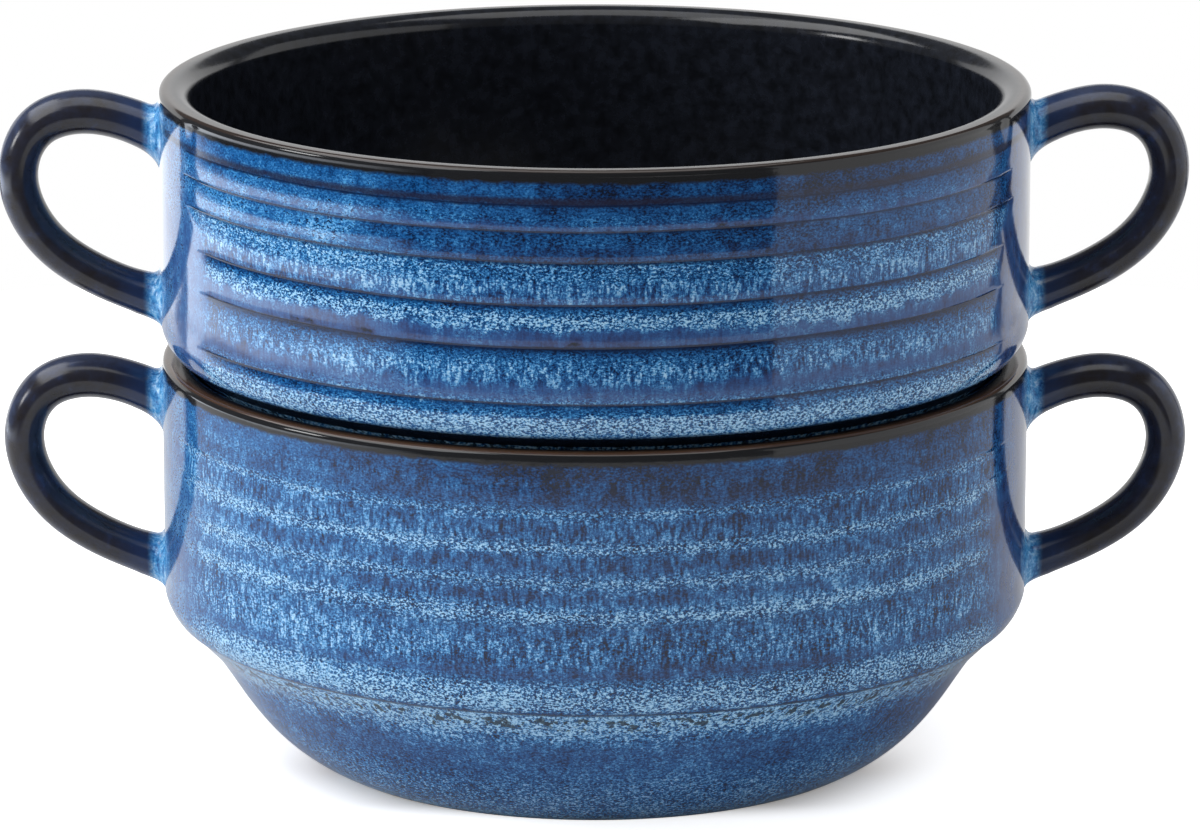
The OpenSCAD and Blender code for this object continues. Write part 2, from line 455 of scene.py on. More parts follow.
class ShapeBoard(Board):
    """A Geometry Nodes tree, from a mesh of guide points to a skin."""

    # Points of a seam or a pole lie closer than this, in metres
    seam = 0.000004

    def __init__(self, name, numbers):
        tree = bpy.data.node_groups.new(name, "GeometryNodeTree")
        super().__init__(tree)
        face = tree.interface
        face.new_socket("Geometry", in_out="INPUT", socket_type="NodeSocketGeometry")
        for key, value in numbers.items():
            kind = "NodeSocketInt" if isinstance(value, int) else "NodeSocketFloat"
            face.new_socket(key, in_out="INPUT", socket_type=kind).default_value = value
        face.new_socket("Material", in_out="INPUT", socket_type="NodeSocketMaterial")
        face.new_socket("Geometry", in_out="OUTPUT", socket_type="NodeSocketGeometry")
        self.given = tree.nodes.new("NodeGroupInput")
        self.given.location = (-self.column_width, 0)

    def value(self, name):
        return Wire(self, self.given.outputs[name])

    def sample(self, value, index, kind="FLOAT"):
        """What a guide point has, by its index."""
        return self.node("GeometryNodeSampleIndex", {"data_type": kind, "domain": "POINT"}, {
            "Geometry": self.value("Geometry"), "Value": value, "Index": index})

    def guide_place(self, index):
        return self.sample(self.node("GeometryNodeInputPosition"), index, "FLOAT_VECTOR")

    def guide(self, name, index, kind="FLOAT"):
        """A guide point's named attribute."""
        own = self.node("GeometryNodeInputNamedAttribute", {"data_type": kind}, {"Name": name})
        return self.sample(own, index, kind)

    def sheet(self, around):
        """A grid over the guide points and all the way round, with each point's row and angle."""
        rows = self.node("GeometryNodeAttributeDomainSize", None, {"Geometry": self.value("Geometry")})
        mesh = self.node("GeometryNodeMeshGrid", None, {"Vertices X": around + 1, "Vertices Y": rows})
        index = self.node("GeometryNodeInputIndex")
        row = self.math("FLOORED_MODULO", index, rows)
        column = self.math("FLOOR", (index + 0.5) / rows)
        angle = self.math("FLOORED_MODULO", column, around) / around * math.tau
        return mesh, row, angle

    def skin(self, mesh, place, kept):
        """Places the grid's points, keeps the named values, and gives the tree its output."""
        mesh = self.node("GeometryNodeSetPosition", None, {"Geometry": mesh, "Position": place})
        for name, value in kept.items():
            mesh = self.node("GeometryNodeStoreNamedAttribute", {"data_type": "FLOAT", "domain": "POINT"}, {
                "Geometry": mesh, "Name": name, "Value": value})
        joined = self.node("GeometryNodeMergeByDistance", None, {"Geometry": mesh, "Distance": self.seam})
        smooth = self.node("GeometryNodeSetShadeSmooth", None, {"Geometry": joined, "Shade Smooth": True})
        real = self.node("GeometryNodeRealizeInstances", None, {"Geometry": smooth})
        painted = self.node("GeometryNodeSetMaterial", None, {
            "Geometry": real, "Material": self.value("Material")})
        output = self.tree.nodes.new("NodeGroupOutput")
        output.location = (self.column_width * (self.count // self.rows + 1), 0)
        self.tree.links.new(painted.socket, output.inputs[0])
        return self.tree


# Heights in metres where the wall's unevenness sets in and ends
UNEVEN_FROM = (0.028, 0.034)
UNEVEN_TO = (0.064, 0.0675)
# Slow changes round the bowl, and how fast they change with the height
WAVE_SCALE = 1.3
WAVE_RISE = 25
WAVE_LIFT = 6
SWELL_SCALE = 5.5
SWELL_RISE = 0.075
# How the wave changes a ring's depth
RING_LEAST = 0.55
RING_CHANGE = 0.9
# The rings' ends are uneven, and the high ones end sooner
RING_END_WAVE = 0.05
HIGH_RINGS = (0.050, 0.056)
HIGH_RING_CUT = 0.03
# Where and how softly the rings end by the handles, as cosines, and the unevenness's seed
BODY_SHAPES = {
    "lower": {"Rings End": 0.865, "Rings Fade": 0.08, "Seed": 3.0},
    "upper": {"Rings End": 0.882, "Rings Fade": 0.024, "Seed": 8.0},
}


def turned_body_tree():
    """Turns an outline of points round the Z axis into a closed body."""
    board = ShapeBoard("Turned Body", {
        "Segments": 360, "Lift": 0.0, "Turn": 0.0, "Ripple": 0.00012, "Swell": 0.00012, "Ring Depth": 0.0003,
        "Rings End": 0.882, "Rings Fade": 0.024, "Seed": 3.0})
    mesh, row, own_angle = board.sheet(board.value("Segments"))
    cosine, sine = board.circle(own_angle + board.value("Turn"))
    own_cosine, own_sine = board.circle(own_angle)
    seed = board.value("Seed")
    radius, unused, height = board.split(board.guide_place(row))
    inside = board.guide("inside", row)
    uneven = board.ease(height, *UNEVEN_FROM) * (1 - inside)
    # The rings aren't quite level: the wall's points move a little up and down round the bowl
    wave = board.noise(board.join(cosine, sine, height * WAVE_RISE + seed), WAVE_SCALE, 1.0)
    below_lip = board.ease(height, *UNEVEN_TO, 1.0, 0.0)
    shift = (wave - 0.5) * board.value("Ripple") * WAVE_LIFT * uneven * below_lip
    # The potter smooths the rings away where the handles go on
    end = board.value("Rings End")
    near_handle = board.math("ABSOLUTE", own_cosine) + (wave - 0.5) * RING_END_WAVE
    high_cut = board.ease(height, *HIGH_RINGS, 0.0, HIGH_RING_CUT)
    ringed = board.ease(near_handle - high_cut, end, end + board.value("Rings Fade"), 1.0, 0.0)
    depth = board.value("Ring Depth") * (RING_LEAST + wave * RING_CHANGE)
    radius = radius - board.guide("dip", row) * depth * ringed
    # Slow waves in the wall, so that reflections bend
    around = board.join(own_cosine, own_sine, height / SWELL_RISE + seed)
    radius = radius - board.noise(around, SWELL_SCALE, 1.0) * board.value("Swell") * uneven
    place = board.join(radius * cosine, radius * sine, height + shift + board.value("Lift"))
    return board.skin(mesh, place, {
        "own_height": height,
        "ring_share": board.guide("ring_share", row),
        "inside": inside,
        "ringed": ringed,
    })


def apply_tree(name, guides, tree, values, material):
    """Runs a tree over guide points and gives a plain mesh object at the origin."""
    carrier = add_object(name + "_guides", guides)
    modifier = carrier.modifiers.new("Shape", "NODES")
    modifier.node_group = tree
    sockets = {item.name: item.identifier for item in tree.interface.items_tree if item.in_out == "INPUT"}
    for key, value in values.items():
        modifier[sockets[key]] = value
    modifier[sockets["Material"]] = material
    bpy.context.view_layer.update()
    shaped = carrier.evaluated_get(bpy.context.evaluated_depsgraph_get())
    mesh = bpy.data.meshes.new_from_object(shaped)
    mesh.name = name
    carrier.modifiers.clear()
    bpy.data.objects.remove(carrier)
    if not mesh.polygons:
        raise RuntimeError(name + " came out empty")
    return add_object(name, mesh)


# The glaze of the bowls

# Patterns that break the glaze up: their stretch, then scale, detail and roughness
GLAZE_PATTERNS = {
    "fleck": ((1.0, 1.0, 1.7), 1900, 3.0, 0.65),
    "grain": ((1.0, 1.0, 1.0), 2600, 2.0, 0.6),
    "streak": ((1.0, 1.0, 0.3), 1600, 3.0, 0.6),
    "mottle": ((1.0, 1.0, 1.0), 420, 3.0, 0.6),
    "runs": ((1.0, 1.0, 0.3), 300, 2.0, 0.5),
    "broad": ((1.0, 1.0, 6.0), 22, 3.0, 0.5),
    "patch": ((1.0, 1.0, 1.7), 70, 3.0, 0.5),
    "pits": ((1.0, 1.0, 1.7), 1700, 2.0, 0.6),
    "drips": ((1.0, 1.0, 0.3), 620, 3.0, 0.65),
}
# How far patterns move the bands, in mm, and how much paler or darker they make the glaze
BAND_WANDER = {"mottle": 2.4, "runs": 2.4, "broad": 2.5}
TONE_SWINGS = {"mottle": 0.5, "runs": 0.4, "broad": 0.4, "patch": 0.45}
# Shares of a ring's height over which its bands settle at its edges
BANDS_FREE_FROM = (0.0, 0.12)
BANDS_FREE_TO = (1.0, 0.88)
# The smooth glaze past the rings' ends, which darkens along X
SMOOTH_TONE = 0.36
SMOOTH_TONE_FALL = 1.2
SMOOTH_LILAC = 0.8
# Specks, weaker on upright runs, lilac and smooth glaze
FLECK_RISE = (0.38, 0.62)
STREAK_RISE = (0.36, 0.64)
FLECK_WEIGHT = 0.95
FLECK_LOST_UPRIGHT = 0.7
GRAIN_WEIGHT = 1.3
SPECK_STRENGTH = 1.5
SPECK_LOST_LILAC = 0.7
SPECK_LEFT_SMOOTH = 0.5
# The glaze is paler towards the left, along -X
PALER_LEFT_SIDE = (-0.012, -0.05)
PALER_LEFT_RISE = 6.0
# Dark pits in pale glaze
PIT_RISE = (0.54, 0.59)
PIT_TONES = (0.40, 0.60)
PIT_LOST_UPRIGHT = 0.5
PIT_DEPTH = 0.65
# The glaze's colours by its tone
GLAZE_TONES = ((0.00, "dark"), (0.16, "navy"), (0.40, "blue"), (0.64, "sky"), (0.95, "pale"))
LILAC_SHARE = 0.5
# The plum band's soft edges and wander in mm, and where it thins
PLUM_START = 0.8
PLUM_END = 0.9
PLUM_WANDER = {"runs": 1.6}
PLUM_THIN = (0.3, 0.55, 0.5, 1.0)
# The valley lines, partly dark glaze pooled in the valleys and partly painted shade, by ring share, height
# in mm and the rings' ends
LINE_SHARES = (0.86, 0.98)
LINE_HEIGHTS = (66.0, 65.0)
LINE_RINGED = (0.4, 0.9)
VALLEY_GLAZE_AND_SHADE_COLOUR = srgb(6, 26, 60)
# The crease over the seat, partly dark glaze pooled there and partly painted shade; on the upper bowl it
# reaches lower, as painted shade of the gap over the lower bowl's lip
CREASE_START = 0.4
CREASE_TOP = (26.2, 25.5)
CREASE_SHARE = 0.75
# Painted shade on the seat under the crease, where the upper bowl sits in the gap over the lower bowl's lip
SEAT_TOP = (25.5, 25.3)
PAINTED_SEAT_SHADE_COLOUR = srgb(7, 14, 28)
# The drips over the seat, by their pattern, sag and height in mm
DRIP_RISE = (0.50, 0.55)
DRIP_SAG = {"runs": 6, "mottle": 7}
DRIP_LOW = (22.2, 22.9)
DRIP_HIGH = (24.5, 24.0)
DRIP_HIGH_SAG = 0.4
DRIP_SHARE = 0.9
# The lip, the inside, the lip's edge and bare clay
LIP_HEIGHTS = (67.9, 68.7)
LIP_WANDER = {"runs": 1.2}
INSIDE_COLOURS = [(0.35, srgb(18, 20, 25)), (0.75, srgb(34, 38, 48))]
EDGE_HEIGHTS = (70.05, 70.3)
EDGE_INSIDE = (0.9, 0.1)
BARE_HEIGHTS = (0.10, 0.04)
# Roughness of the bowl
BOWL_ROUGHNESS = 0.06
MOTTLE_ROUGHNESS = 0.05
INSIDE_ROUGHNESS = 0.08
BARE_ROUGHNESS = 0.6
# The bands' ramps span the bowl's height, and the wall's bands begin at the crease
BAND_SPAN = 70.5
FOOT_TO_WALL = (25.2, 25.5)
# Bands of the glaze: height over the foot in mm, how pale, how smooth and lilac, how much it runs upright
UPPER_BANDS = (
    (25.4, 0.70, 0.3, 0.3), (26.6, 0.73, 0.1, 0.1), (27.8, 0.71, 0.0, 0.0), (29.2, 0.66, 0.0, 0.0),
    (30.2, 0.36, 0.0, 0.1), (31.7, 0.22, 0.0, 0.1), (31.9, 0.50, 0.3, 0.3), (33.2, 0.38, 0.8, 0.6),
    (34.4, 0.36, 0.8, 0.8), (35.4, 0.44, 0.3, 0.9), (37.4, 0.52, 0.1, 0.7), (39.4, 0.37, 0.0, 0.3),
    (40.6, 0.19, 0.0, 0.1), (41.3, 0.11, 0.0, 0.0), (41.6, 0.32, 0.9, 0.8), (43.6, 0.38, 0.8, 0.8),
    (44.6, 0.64, 0.1, 0.3), (46.2, 0.64, 0.0, 0.0), (47.4, 0.32, 0.0, 0.0), (48.4, 0.16, 0.0, 0.0),
    (48.6, 0.42, 0.4, 0.9), (51.4, 0.54, 0.2, 0.9), (52.6, 0.44, 0.0, 0.3), (54.8, 0.44, 0.0, 0.0),
    (55.5, 0.24, 0.0, 0.0), (55.7, 0.24, 0.3, 0.4), (58.6, 0.26, 0.0, 0.2), (60.5, 0.18, 0.0, 0.0),
    (60.8, 0.32, 0.8, 0.6), (62.4, 0.27, 0.0, 0.1), (64.2, 0.18, 0.0, 0.1), (68.0, 0.16, 0.0, 0.0))
LOWER_BANDS = (
    (25.4, 0.32, 0.2, 0.2), (26.2, 0.46, 0.1, 0.2), (27.4, 0.70, 0.0, 0.1), (29.4, 0.62, 0.0, 0.1),
    (31.4, 0.44, 0.0, 0.2), (32.6, 0.29, 0.3, 0.5), (35.0, 0.40, 0.0, 0.7), (38.0, 0.42, 0.0, 0.6),
    (40.6, 0.32, 0.1, 0.7), (41.8, 0.42, 0.0, 0.2), (43.0, 0.60, 0.0, 0.0), (44.2, 0.46, 0.0, 0.5),
    (46.0, 0.28, 0.2, 0.8), (48.8, 0.52, 0.0, 0.1), (50.6, 0.31, 0.2, 0.8), (52.4, 0.28, 0.1, 0.8),
    (54.4, 0.58, 0.0, 0.0), (56.0, 0.37, 0.1, 0.8), (58.6, 0.29, 0.1, 0.8), (60.4, 0.46, 0.0, 0.1),
    (61.6, 0.25, 0.1, 0.3), (63.0, 0.22, 0.1, 0.5), (65.2, 0.23, 0.0, 0.5), (66.2, 0.16, 0.0, 0.2))
FOOT_BANDS = (
    (0.5, 0.85, 0.0, 0.3), (1.6, 0.53, 0.1, 0.5), (5.0, 0.51, 0.1, 0.3), (9.0, 0.48, 0.2, 0.3),
    (13.0, 0.34, 0.3, 0.3), (17.0, 0.33, 0.3, 0.4), (19.0, 0.42, 0.1, 0.6), (20.6, 0.61, 0.0, 0.6),
    (22.5, 0.77, 0.0, 0.7), (24.8, 0.73, 0.0, 0.5))
# What sets the two bowls apart, in shares and mm: plum is a band's heights and share, thick a gain and
# its height for the paler left side, seat_low the height where the crease line and the painted seat shade
# begin, and the next share how strong that painted shade is
BOWL_GLAZES = {
    "lower": {"bands": LOWER_BANDS, "plum": (61.6, 65.4, 0.05), "line": 0.11, "brown": 0.4, "specks": 1.2,
              "thick": (0.13, 22.0), "seat_low": 24.9, "painted_seat_shade": 0.0, "seed": 3.0},
    "upper": {"bands": UPPER_BANDS, "plum": (64.3, 66.4, 0.85), "line": 1.1, "brown": 0.12, "specks": 1.03,
              "thick": (0.2, 50.0), "seat_low": 23.4, "painted_seat_shade": 0.95, "seed": 10.0},
}


def tone_stops(colours, tones):
    """A ramp's stops from places and the names of the glaze's colours."""
    return [(place, tuple(getattr(colours, key))) for place, key in tones]


def band_ramp(board, height, bands):
    """The glaze's bands over the height, with tone, lilac and upright as red, green and blue."""
    return board.ramp(height / BAND_SPAN, [(level / BAND_SPAN, (*values, 1.0)) for level, *values in bands])


def bowl_tone(board, pattern, glaze, height, across):
    """How pale the glaze is and how lilac."""
    share = board.attribute("ring_share")
    ringed = board.attribute("ringed")
    # The bands wander and fray, but break off sharply at the valleys
    free = board.ease(share, *BANDS_FREE_FROM) * board.ease(share, *BANDS_FREE_TO)
    moved = height + board.swings(pattern, BAND_WANDER) * free
    bands = board.blend(board.ease(height, *FOOT_TO_WALL), band_ramp(board, moved, FOOT_BANDS),
                        band_ramp(board, moved, glaze["bands"]))
    tone, lilac, upright = board.split(bands)
    tone = tone * ringed + (SMOOTH_TONE - across * SMOOTH_TONE_FALL) * (1 - ringed)
    lilac = board.math("MAXIMUM", lilac, (1 - ringed) * SMOOTH_LILAC)
    fleck = board.ease(pattern["fleck"], *FLECK_RISE) - 0.5
    streak = board.ease(pattern["streak"], *STREAK_RISE) - 0.5
    speck = fleck * (1 - upright * FLECK_LOST_UPRIGHT) * FLECK_WEIGHT + streak * upright
    speck = speck + (pattern["grain"] - 0.5) * GRAIN_WEIGHT
    strength = tone * SPECK_STRENGTH * (1 - lilac * SPECK_LOST_LILAC)
    strength = strength * (SPECK_LEFT_SMOOTH + ringed * (1 - SPECK_LEFT_SMOOTH)) * glaze["specks"]
    # Paler towards the left, along -X, above a given height
    gain, start = glaze["thick"]
    tone = tone + board.ease(across, *PALER_LEFT_SIDE) * board.ease(height, start, start + PALER_LEFT_RISE) * gain
    tone = tone + speck * strength + board.swings(pattern, TONE_SWINGS)
    pits = board.ease(pattern["pits"], *PIT_RISE) * board.ease(tone, *PIT_TONES)
    return tone - pits * (1 - upright * PIT_LOST_UPRIGHT) * PIT_DEPTH, lilac


def bowl_lines(board, glaze, height):
    """How dark the sharp valley lines and the crease over the seat run: dark glaze pooled there and painted
    shade, which on the upper bowl reaches down the seat into the gap over the lower bowl's lip.
    """
    line = board.ease(board.attribute("ring_share"), *LINE_SHARES) * board.ease(height, *LINE_HEIGHTS)
    line = line * board.ease(board.attribute("ringed"), *LINE_RINGED) * glaze["line"]
    crease = board.ease(height, glaze["seat_low"], glaze["seat_low"] + CREASE_START)
    return board.math("MAXIMUM", line, crease * board.ease(height, *CREASE_TOP)) * CREASE_SHARE


def bowl_drips(board, pattern, height):
    """Where dark drips hang from the crease over the pale seat."""
    sag = board.swings(pattern, DRIP_SAG)
    hang = board.ease(height + sag, *DRIP_LOW) * board.ease(height + sag * DRIP_HIGH_SAG, *DRIP_HIGH)
    return board.ease(pattern["drips"], *DRIP_RISE) * hang * DRIP_SHARE


def bowl_glaze(name, colours, glaze):
    """The reactive glaze of a bowl: bands that follow the rings, drips, a thin lip, a black inside."""
    material, board = new_material(name)
    height = board.attribute("own_height") * PER_METRE
    inside = board.attribute("inside")
    across = board.split(board.place())[0]
    pattern = board.patterns(GLAZE_PATTERNS, glaze["seed"])
    tone, lilac = bowl_tone(board, pattern, glaze, height, across)
    low, high, amount = glaze["plum"]
    plum = board.ease(height + board.swings(pattern, PLUM_WANDER), low, low + PLUM_START)
    plum = plum * board.ease(height, high, high - PLUM_END) * board.ease(pattern["broad"], *PLUM_THIN)
    # Painted shade on the upper bowl's seat, in the gap over the lower bowl's lip
    seat = board.ease(height, glaze["seat_low"], glaze["seat_low"] + CREASE_START)
    seat = seat * board.ease(height, *SEAT_TOP) * glaze["painted_seat_shade"]
    edge = board.ease(height, *EDGE_HEIGHTS) * board.ease(inside, *EDGE_INSIDE)
    bare = board.ease(height, *BARE_HEIGHTS)
    colour = board.coats(board.ramp(tone, tone_stops(colours, GLAZE_TONES)), (
        (lilac * LILAC_SHARE, tuple(colours.lilac)),
        (plum * amount, tuple(colours.plum)),
        # The valley lines and the crease: dark glaze and painted shade
        (bowl_lines(board, glaze, height), VALLEY_GLAZE_AND_SHADE_COLOUR),
        (bowl_drips(board, pattern, height), tuple(colours.drip)),
        (seat, PAINTED_SEAT_SHADE_COLOUR),
        (board.ease(height + board.swings(pattern, LIP_WANDER), *LIP_HEIGHTS), tuple(colours.lip)),
        (inside, board.ramp(pattern["mottle"], INSIDE_COLOURS)),
        (edge * glaze["brown"], tuple(colours.brown)),
        (bare, tuple(colours.clay)),
    ))
    rough = BOWL_ROUGHNESS + pattern["mottle"] * MOTTLE_ROUGHNESS
    rough = rough + inside * INSIDE_ROUGHNESS + bare * BARE_ROUGHNESS
    board.surface(colour, rough, pattern["mottle"], bump_strength=0.25)
    return material


# Guide points of a handle's loop: distance from the wall, height, thickness and width, as shares of its
# reach, its height and the strap's sizes
LOOP = (
    (-0.50, 0.56, 1.15, 1.25), (-0.30, 0.70, 1.10, 1.20), (-0.12, 0.83, 1.05, 1.15),
    (0.01, 0.89, 1.02, 1.10), (0.12, 0.93, 1.0, 1.05), (0.28, 0.975, 0.97, 1.02),
    (0.54, 1.015, 1.01, 1.0), (0.83, 0.97, 0.99, 1.0), (0.99, 0.83, 0.92, 1.0),
    (1.0385, 0.64, 0.9, 1.0), (0.95, 0.435, 0.9, 1.0), (0.76, 0.26, 0.9, 1.0),
    (0.50, 0.14, 0.91, 1.0), (0.27, 0.065, 0.91, 1.0), (0.12, 0.03, 0.96, 1.04),
    (0.01, 0.0, 1.15, 1.15), (-0.12, 0.0, 1.25, 1.25), (-0.32, 0.0, 1.25, 1.3))
SPAN_STEPS = 8
ROOT_STEPS = 12
# Sizes in mm
HANDLE_REACH = 27.6
HANDLE_DROP = 0.8
LOW_ROOT_RISE = 7.7
HALF_STRAP = 3.8
# The strap runs free where it is this share of the flare off the wall
FREE_SHARE = 0.8
# A root's rim stays under the lip and over the step by these, in mm
ROOT_UNDER_LIP = 1.3
ROOT_OVER_STEP = 3.0
# How far a root's rim and its closed end lie in the wall, in metres
ROOT_SUNK = 0.00035
ROOT_END_DEPTH = 0.0025


def curve_point(t, a, b, c, d):
    """A point on a smooth curve near four guide points, from 0 to 1 along its span."""
    u = 1 - t
    return [(u ** 3 * e + (3 * t ** 3 - 6 * t * t + 4) * f
             + (3 * t + 3 * t * t - 3 * t ** 3 + 1) * g + t ** 3 * h) / 6
            for e, f, g, h in zip(a, b, c, d)]


def curve_heading(t, a, b, c, d):
    """The direction of the curve there in the loop's plane, of length 1."""
    u = 1 - t
    along = [(t * t * h - u * u * e + (3 * t * t - 4 * t) * f + (1 + 2 * t - 3 * t * t) * g) / 2
             for e, f, g, h in zip(a[:2], b[:2], c[:2], d[:2])]
    size = math.hypot(*along)
    return along[0] / size, along[1] / size


def loop_rail(sizes, bowl):
    """Points of the handle's middle line, from the upper root down, and what their sections need."""
    reach = HANDLE_REACH - HALF_STRAP
    low = STEP + LOW_ROOT_RISE
    high = bowl.height / MM - HANDLE_DROP - HALF_STRAP
    rim = bowl.rim_radius / MM
    guides = [(rim + a * reach, low + b * (high - low), c, d) for a, b, c, d in LOOP]
    line = []
    for s in range(len(guides) - 3):
        for i in range(SPAN_STEPS):
            t = i / SPAN_STEPS
            line.append((curve_point(t, *guides[s:s + 4]), curve_heading(t, *guides[s:s + 4])))
    clear = rim + sizes.flare / MM * FREE_SHARE
    free = [k for k, (point, along) in enumerate(line) if point[0] > clear]
    first, last = free[0], free[-1]
    points = []
    sections = {key: [] for key in ("across", "along", "half_thickness", "half_width", "root_share", "pole")}

    def ring(k, root, pole, inward):
        (out, height, thick, wide), (run, rise) = line[k]
        points.append((out * MM, 0.0, height * MM))
        sections["across"].append((-rise, 0.0, run))
        sections["along"].append((run * inward, 0.0, rise * inward))
        sections["half_thickness"].append(thick / 2 * sizes.thickness)
        sections["half_width"].append(wide / 2 * sizes.width)
        sections["root_share"].append(root)
        sections["pole"].append(pole)

    ring(first, 1.0, 1.0, -1)
    for i in range(ROOT_STEPS, 0, -1):
        ring(first, i / ROOT_STEPS, 0.0, -1)
    for k in range(first, last + 1):
        ring(k, 0.0, 0.0, 1)
    for i in range(1, ROOT_STEPS + 1):
        ring(last, i / ROOT_STEPS, 0.0, 1)
    ring(last, 1.0, 1.0, 1)
    return points, sections


def strap_tree():
    """Skins oval sections along a rail and spreads both ends over a round wall."""
    board = ShapeBoard("Looped Strap", {
        "Sides": 48, "Wall Radius": 0.075, "Flare": 0.0045, "Top": 0.0692, "Bottom": 0.0283, "Lift": 0.0,
        "Turn": 0.0})

    def moved(start, direction, amount):
        return board.vector("ADD", start, board.scaled(direction, amount))

    def mixed(share, first, second):
        return board.vector("ADD", board.scaled(first, 1 - share), board.scaled(second, share))

    mesh, row, angle = board.sheet(board.value("Sides"))
    centre = board.guide_place(row)
    across = board.guide("across", row, "FLOAT_VECTOR")
    along = board.guide("along", row, "FLOAT_VECTOR")
    half_t = board.guide("half_thickness", row)
    half_w = board.guide("half_width", row)
    root = board.guide("root_share", row)
    cosine, sine = board.circle(angle)
    side = board.join(0.0, 1.0, 0.0)
    start = moved(moved(centre, across, half_t * cosine), side, half_w * sine)
    # Where the section, run on along the rail, would meet the wall
    sx, sy, sz = board.split(start)
    ax, ay, az = board.split(along)
    wall = board.value("Wall Radius")
    corner = moved(start, along, (board.math("SQRT", wall * wall - sy * sy) - sx) / ax)
    # Outwards over the wall from there, and back under its surface
    outward = board.vector("NORMALIZE", moved(board.scaled(across, cosine / half_t), side, sine / half_w))
    cx, cy, cz = board.split(corner)
    normal = board.vector("NORMALIZE", board.join(cx, cy, 0.0))
    dot = board.vector("DOT_PRODUCT", outward, normal, "Value")
    spread = board.vector("NORMALIZE", board.vector("SUBTRACT", outward, board.scaled(normal, dot)))
    ex, ey, ez = board.split(moved(corner, spread, board.value("Flare")))
    flat = board.join(ex, ey, 0.0)
    sunk = board.scaled(flat, (wall - ROOT_SUNK) / board.vector("LENGTH", flat, out="Value"))
    level = board.math("MINIMUM", board.math("MAXIMUM", ez, board.value("Bottom")), board.value("Top"))
    end = board.vector("ADD", sunk, board.join(0.0, 0.0, level))
    # A root is a smooth curve from the section by the corner to that end
    point = mixed(root, mixed(root, start, corner), mixed(root, corner, end))
    # The closed end lies inside the clay of the wall
    hx, hy, hz = board.split(centre)
    heart = moved(centre, along, (wall - ROOT_END_DEPTH - hx) / ax)
    px, py, pz = board.split(mixed(board.guide("pole", row), point, heart))
    wall_gap = board.math("SQRT", px * px + py * py) - wall
    turned, aside = board.circle(board.value("Turn"))
    place = board.join(px * turned - py * aside, px * aside + py * turned, pz + board.value("Lift"))
    return board.skin(mesh, place, {"wall_gap": wall_gap, "own_height": pz, "facing": cosine})


# The glaze of the handles

HANDLE_PATTERNS = {
    "fine": ((1.0, 1.0, 1.0), 2300, 2.0, 0.6),
    "mottle": ((1.0, 1.0, 1.0), 300, 4.0, 0.6),
    "drip": ((1.0, 1.0, 0.3), 900, 3.0, 0.6),
}
HANDLE_SEED = 11.0
HANDLE_DARKS = [(0.35, srgb(34, 31, 34)), (0.6, srgb(38, 40, 54)), (0.8, srgb(46, 58, 92))]
# The bluer outside of the loop, by how far its surface faces outwards: partly glaze that breaks blue there
# and partly a painted sheen
OUTSIDE = (0.45, 1.0)
OUTSIDE_WANDER = {"mottle": 0.8}
OUTSIDE_SHARE = 0.42
OUTSIDE_BLUE_AND_SHEEN_COLOUR = srgb(70, 84, 118)
# Distances off the wall in mm over which the strap goes navy and then pale
NAVY_GAPS = (10.0, 3.0)
NAVY_SHARE = 0.5
PALE_GAPS = (3.2, 1.4)
PALE_WANDER = {"drip": 1.0}
PALE_SHARE = 0.95
ROOT_TONES = ((0.28, "navy"), (0.38, "blue"), (0.52, "sky"), (0.66, "pale"))
DRIP_WEIGHT = 0.65
HANDLE_ROUGHNESS = 0.15
HANDLE_MOTTLE_ROUGHNESS = 0.08


def handle_glaze(name, colours):
    """Near-black glaze that breaks to streaked blue where the handle leaves the wall."""
    material, board = new_material(name)
    gap = board.attribute("wall_gap") * PER_METRE
    pattern = board.patterns(HANDLE_PATTERNS, HANDLE_SEED)
    # The glaze breaks to blue along the outside of the loop, which also carries a painted sheen, and to pale
    #     streaks where it meets the wall
    outside = board.ease(board.attribute("facing") + board.swings(pattern, OUTSIDE_WANDER), *OUTSIDE)
    streaks = pattern["fine"] * (1 - DRIP_WEIGHT) + pattern["drip"] * DRIP_WEIGHT
    near = board.ease(gap + board.swings(pattern, PALE_WANDER), *PALE_GAPS)
    colour = board.coats(board.ramp(pattern["mottle"], HANDLE_DARKS), (
        (outside * OUTSIDE_SHARE, OUTSIDE_BLUE_AND_SHEEN_COLOUR),
        (board.ease(gap, *NAVY_GAPS) * NAVY_SHARE, tuple(colours.navy)),
        (near * PALE_SHARE, board.ramp(streaks, tone_stops(colours, ROOT_TONES))),
    ))
    rough = HANDLE_ROUGHNESS + pattern["mottle"] * HANDLE_MOTTLE_ROUGHNESS
    board.surface(colour, rough, pattern["mottle"], bump_strength=0.2)
    return material


class BowlBodies(bpy.types.Operator):
    """Turns both bowls' bodies and glazes them"""

    bl_idname = "soup_bowls.bodies"
    bl_label = "Bowl Bodies"

    def execute(self, context):
        sizes = context.scene.bowl_sizes
        colours = context.scene.glaze_colours
        ring_depths = {"lower": sizes.lower_ring_depth, "upper": sizes.upper_ring_depth}
        radii, heights, shares, insides, dips = zip(*body_profile(sizes))
        outline = [(radius * MM, 0.0, height * MM) for radius, height in zip(radii, heights)]
        tree = turned_body_tree()
        for number, body in enumerate(BODIES):
            guides = point_mesh(body + "_outline", outline, {
                "ring_share": shares, "inside": insides, "dip": dips})
            piece = apply_tree(body + "_glazed_bowl", guides, tree, {
                "Segments": sizes.segments,
                "Ring Depth": ring_depths[body],
                "Lift": FOOT_TO_FOOT * number,
                "Turn": UPPER_TURN * number,
                **BODY_SHAPES[body],
            }, bowl_glaze(body + "_blue_glaze", colours, BOWL_GLAZES[body]))
            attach(piece, body)
            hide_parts(body + "_bowl")
        return {"FINISHED"}


